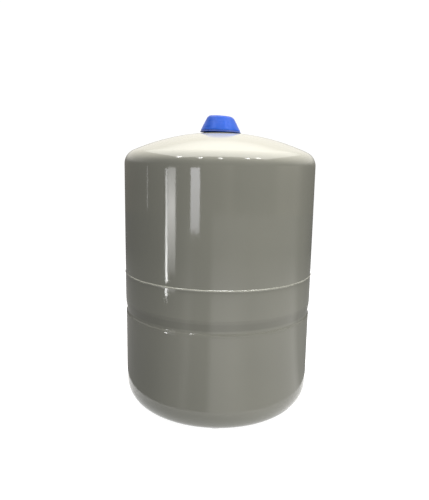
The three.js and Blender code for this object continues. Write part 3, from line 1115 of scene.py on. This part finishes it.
def build_room():
    """Seen only in reflections: dim walls, a brighter upper room behind, a dim floor past the sheet."""
    walls = [
        (-180, 0.5), (-95, 0.6), (-60, 0.7), (0, 0.9), (12, 1.6), (19, 0.6), (30, 0.5),
        (62, 0.9), (72, 1.9), (98, 1.9), (112, 0.7), (125, 0.5), (180, 0.5),
    ]
    upper = [(-180, 0.95), (-105, 0.95), (-75, 0.35), (0, 0.3), (75, 0.35), (105, 0.95), (180, 0.95)]
    ground = [
        (-180, 0.35), (-70, 0.3), (-40, 0.6), (-32, 1.0), (-25, 0.6), (-10, 0.55), (-4, 1.6), (16, 1.7),
        (36, 1.1), (60, 1.25), (96, 1.3), (108, 0.5), (130, 0.3), (180, 0.4),
    ]
    mesh = bmesh.new()
    disc(mesh, [(2.6, 0.0), (2.6, 0.3), (2.6, 0.5)])
    lifting = [(0, 0.3), (0.15, 0.3), (0.6, 0.6)]
    on_stage("room_walls", mesh, room_material("room_walls", (1, 0.93, 0.82), walls, lifting))
    mesh = bmesh.new()
    disc(mesh, [(2.6, 0.5), (2.6, 0.8), (2.6, 2.6), (0.001, 2.69)])
    rising = [(0, 0.2), (0.45, 0.2), (0.85, 1), (2.7, 1)]
    on_stage("room_upper", mesh, room_material("room_upper", (1, 0.97, 0.91), upper, rising))
    mesh = bmesh.new()
    disc(mesh, [(0.21, 0.0006), (0.5, 0.0006), (2.6, 0.0006)])
    fading = [(0, 0.85), (0.22, 0.85), (0.42, 1), (0.6, 1), (1.3, 0.4), (2.7, 0.4)]
    on_stage("room_floor", mesh, room_material("room_floor", (1, 0.98, 0.95), ground, fading, True))


def around(azimuth, distance, height):
    """A place at an azimuth to the right of the camera's side, in degrees."""
    angle = math.radians(azimuth)
    return Vector((math.sin(angle) * distance, -math.cos(angle) * distance, height))


def card(name, azimuth, distance, bottom, top, width, low_level, high_level, colour=(1, 1, 1), lean=0.0):
    """A bright panel that shows only as a highlight in the paint; its level changes from bottom to top."""
    material, tree, emission = emission_tree(name)
    emission.inputs["Color"].default_value = (*colour, 1)
    level = map_range(tree, place_axes(tree)[2], bottom, top, low_level, high_level)
    tree.links.new(level, emission.inputs["Strength"])
    material.cycles.emission_sampling = "NONE"
    middle = around(azimuth, distance, 0)
    across = Vector((-middle.y, middle.x, 0)).normalized() * (width / 2)
    inward = -middle.normalized() * lean
    mesh = bmesh.new()
    low_left = mesh.verts.new(middle - across + Vector((0, 0, bottom)))
    low_right = mesh.verts.new(middle + across + Vector((0, 0, bottom)))
    high_right = mesh.verts.new(middle + across + inward + Vector((0, 0, top)))
    high_left = mesh.verts.new(middle - across + inward + Vector((0, 0, top)))
    mesh.faces.new((low_left, low_right, high_right, high_left))
    on_stage(name, mesh, material)


def ceiling_panel(name, low, high, height, front_level, rear_level):
    """A level panel overhead, between two corners, that shows only in reflections and dims to the rear."""
    material, tree, emission = emission_tree(name)
    emission.inputs["Color"].default_value = (1, 0.99, 0.95, 1)
    level = map_range(tree, place_axes(tree)[1], low[1], high[1], front_level, rear_level)
    tree.links.new(level, emission.inputs["Strength"])
    material.cycles.emission_sampling = "NONE"
    mesh = bmesh.new()
    corners = [low, (high[0], low[1]), high, (low[0], high[1])]
    mesh.faces.new([mesh.verts.new((x, y, height)) for x, y in corners])
    on_stage(name, mesh, material)


def area_light(name, place, aim, width, height, power, colour=(1, 1, 1), glossy=False):
    """A rectangular light aimed at a place, which the camera doesn't see."""
    data = bpy.data.lights.new(name, "AREA")
    data.shape = "RECTANGLE"
    data.size = width
    data.size_y = height
    data.energy = power
    data.color = colour
    light = bpy.data.objects.new(name, data)
    bpy.context.scene.collection.objects.link(light)
    light.location = place
    light.rotation_euler = (Vector(aim) - Vector(place)).to_track_quat("-Z", "Y").to_euler()
    light.visible_camera = False
    light.visible_glossy = glossy
    return light


def build_world():
    """Soft light from all round, a little stronger from the white sheet below."""
    world = bpy.data.worlds.new("studio")
    world.use_nodes = True
    tree = world.node_tree
    direction = tree.nodes.new("ShaderNodeTexCoord")
    axes = tree.nodes.new("ShaderNodeSeparateXYZ")
    tree.links.new(direction.outputs["Generated"], axes.inputs[0])
    background = tree.nodes["Background"]
    background.inputs["Color"].default_value = (1.0, 1.0, 1.0, 1)
    tree.links.new(map_range(tree, axes.outputs[2], -0.3, 0.3, 0.52, 0.36), background.inputs["Strength"])
    bpy.context.scene.world = world


def only_for(light, piece, state):
    """Makes a light reach only this piece, or everything but it."""
    group = bpy.data.collections.new(light.name + "_pieces")
    group.objects.link(piece)
    group.collection_objects[0].light_linking.link_state = state
    light.light_linking.receiver_collection = group


def build_lights():
    """Soft light from above and the right, lights kept to one piece, and panels that the paint mirrors."""
    top = COVER_TOP * MM
    overhead = area_light("overhead", (0.09, 0.12, top + 0.8), (0, 0, top), 0.2, 0.2, 22.5, (1, 0.957, 0.935))
    only_for(overhead, COVER, "EXCLUDE")
    front = area_light("front_top", (0.05, -0.28, 1.1), (0, -0.1, 0.2), 0.2, 0.2, 3.5, (1, 0.99, 0.96))
    only_for(front, COVER, "EXCLUDE")
    softer = area_light("overhead_cover", (0.05, 0.12, top + 0.8), (0, 0, top), 0.3, 0.3, 3.0)
    only_for(softer, COVER, "INCLUDE")
    gleam = area_light("cover_gleam", around(4, 0.7, 1.3), (0, 0, top), 0.2, 0.3, 0.4, glossy=True)
    gleam.visible_diffuse = False
    only_for(gleam, COVER, "INCLUDE")
    graze = area_light("weld_graze", around(8, 0.5, 1.0), (0, -0.1, 0.185), 0.3, 0.3, 5.5, glossy=True)
    only_for(graze, WELD, "INCLUDE")
    lip = area_light("lip_gleam", around(-48, 0.9, 1.05), (0, 0, 0.142), 0.5, 0.1, 5, glossy=True)
    lip.visible_diffuse = False
    only_for(lip, LOWER_SHELL, "INCLUDE")
    area_light("side_fill", around(40, 1.3, 0.25), (0, 0, 0.18), 0.8, 0.8, 6.4, (1, 0.985, 0.92))
    ceiling_panel("sheen", (-1.2, -0.85), (1.5, 1.9), 1.6, 5.6, 1.1)
    card("left_strip", -58.5, 0.76, 0.002, 0.29, 0.034, 22, 6)
    card("left_band_low", -52.2, 0.8, 0.04, 0.2, 0.13, 1.5, 8.5, (1, 0.99, 0.98))
    card("left_band_high", -52.2, 0.8, 0.2, 0.30, 0.13, 8.5, 4.0, (1, 0.99, 0.98))
    card("inner_strip", -25.6, 0.8, 0.145, 0.30, 0.14, 5.0, 7.0, (1, 0.99, 1.05))
    card("thin_strip", -86.5, 0.8, 0.19, 0.30, 0.012, 3, 3)
    for azimuth, width in ((1, 0.06), (-27, 0.1), (-58, 0.08), (38, 0.08), (53, 0.08)):
        card("lamp", azimuth, 0.95, 1.17, 1.25, width, 30, 30, lean=0.08)


build_room()
build_floor()
build_backdrop()
build_world()
build_lights()
bpy.context.scene.view_settings.view_transform = "Standard"
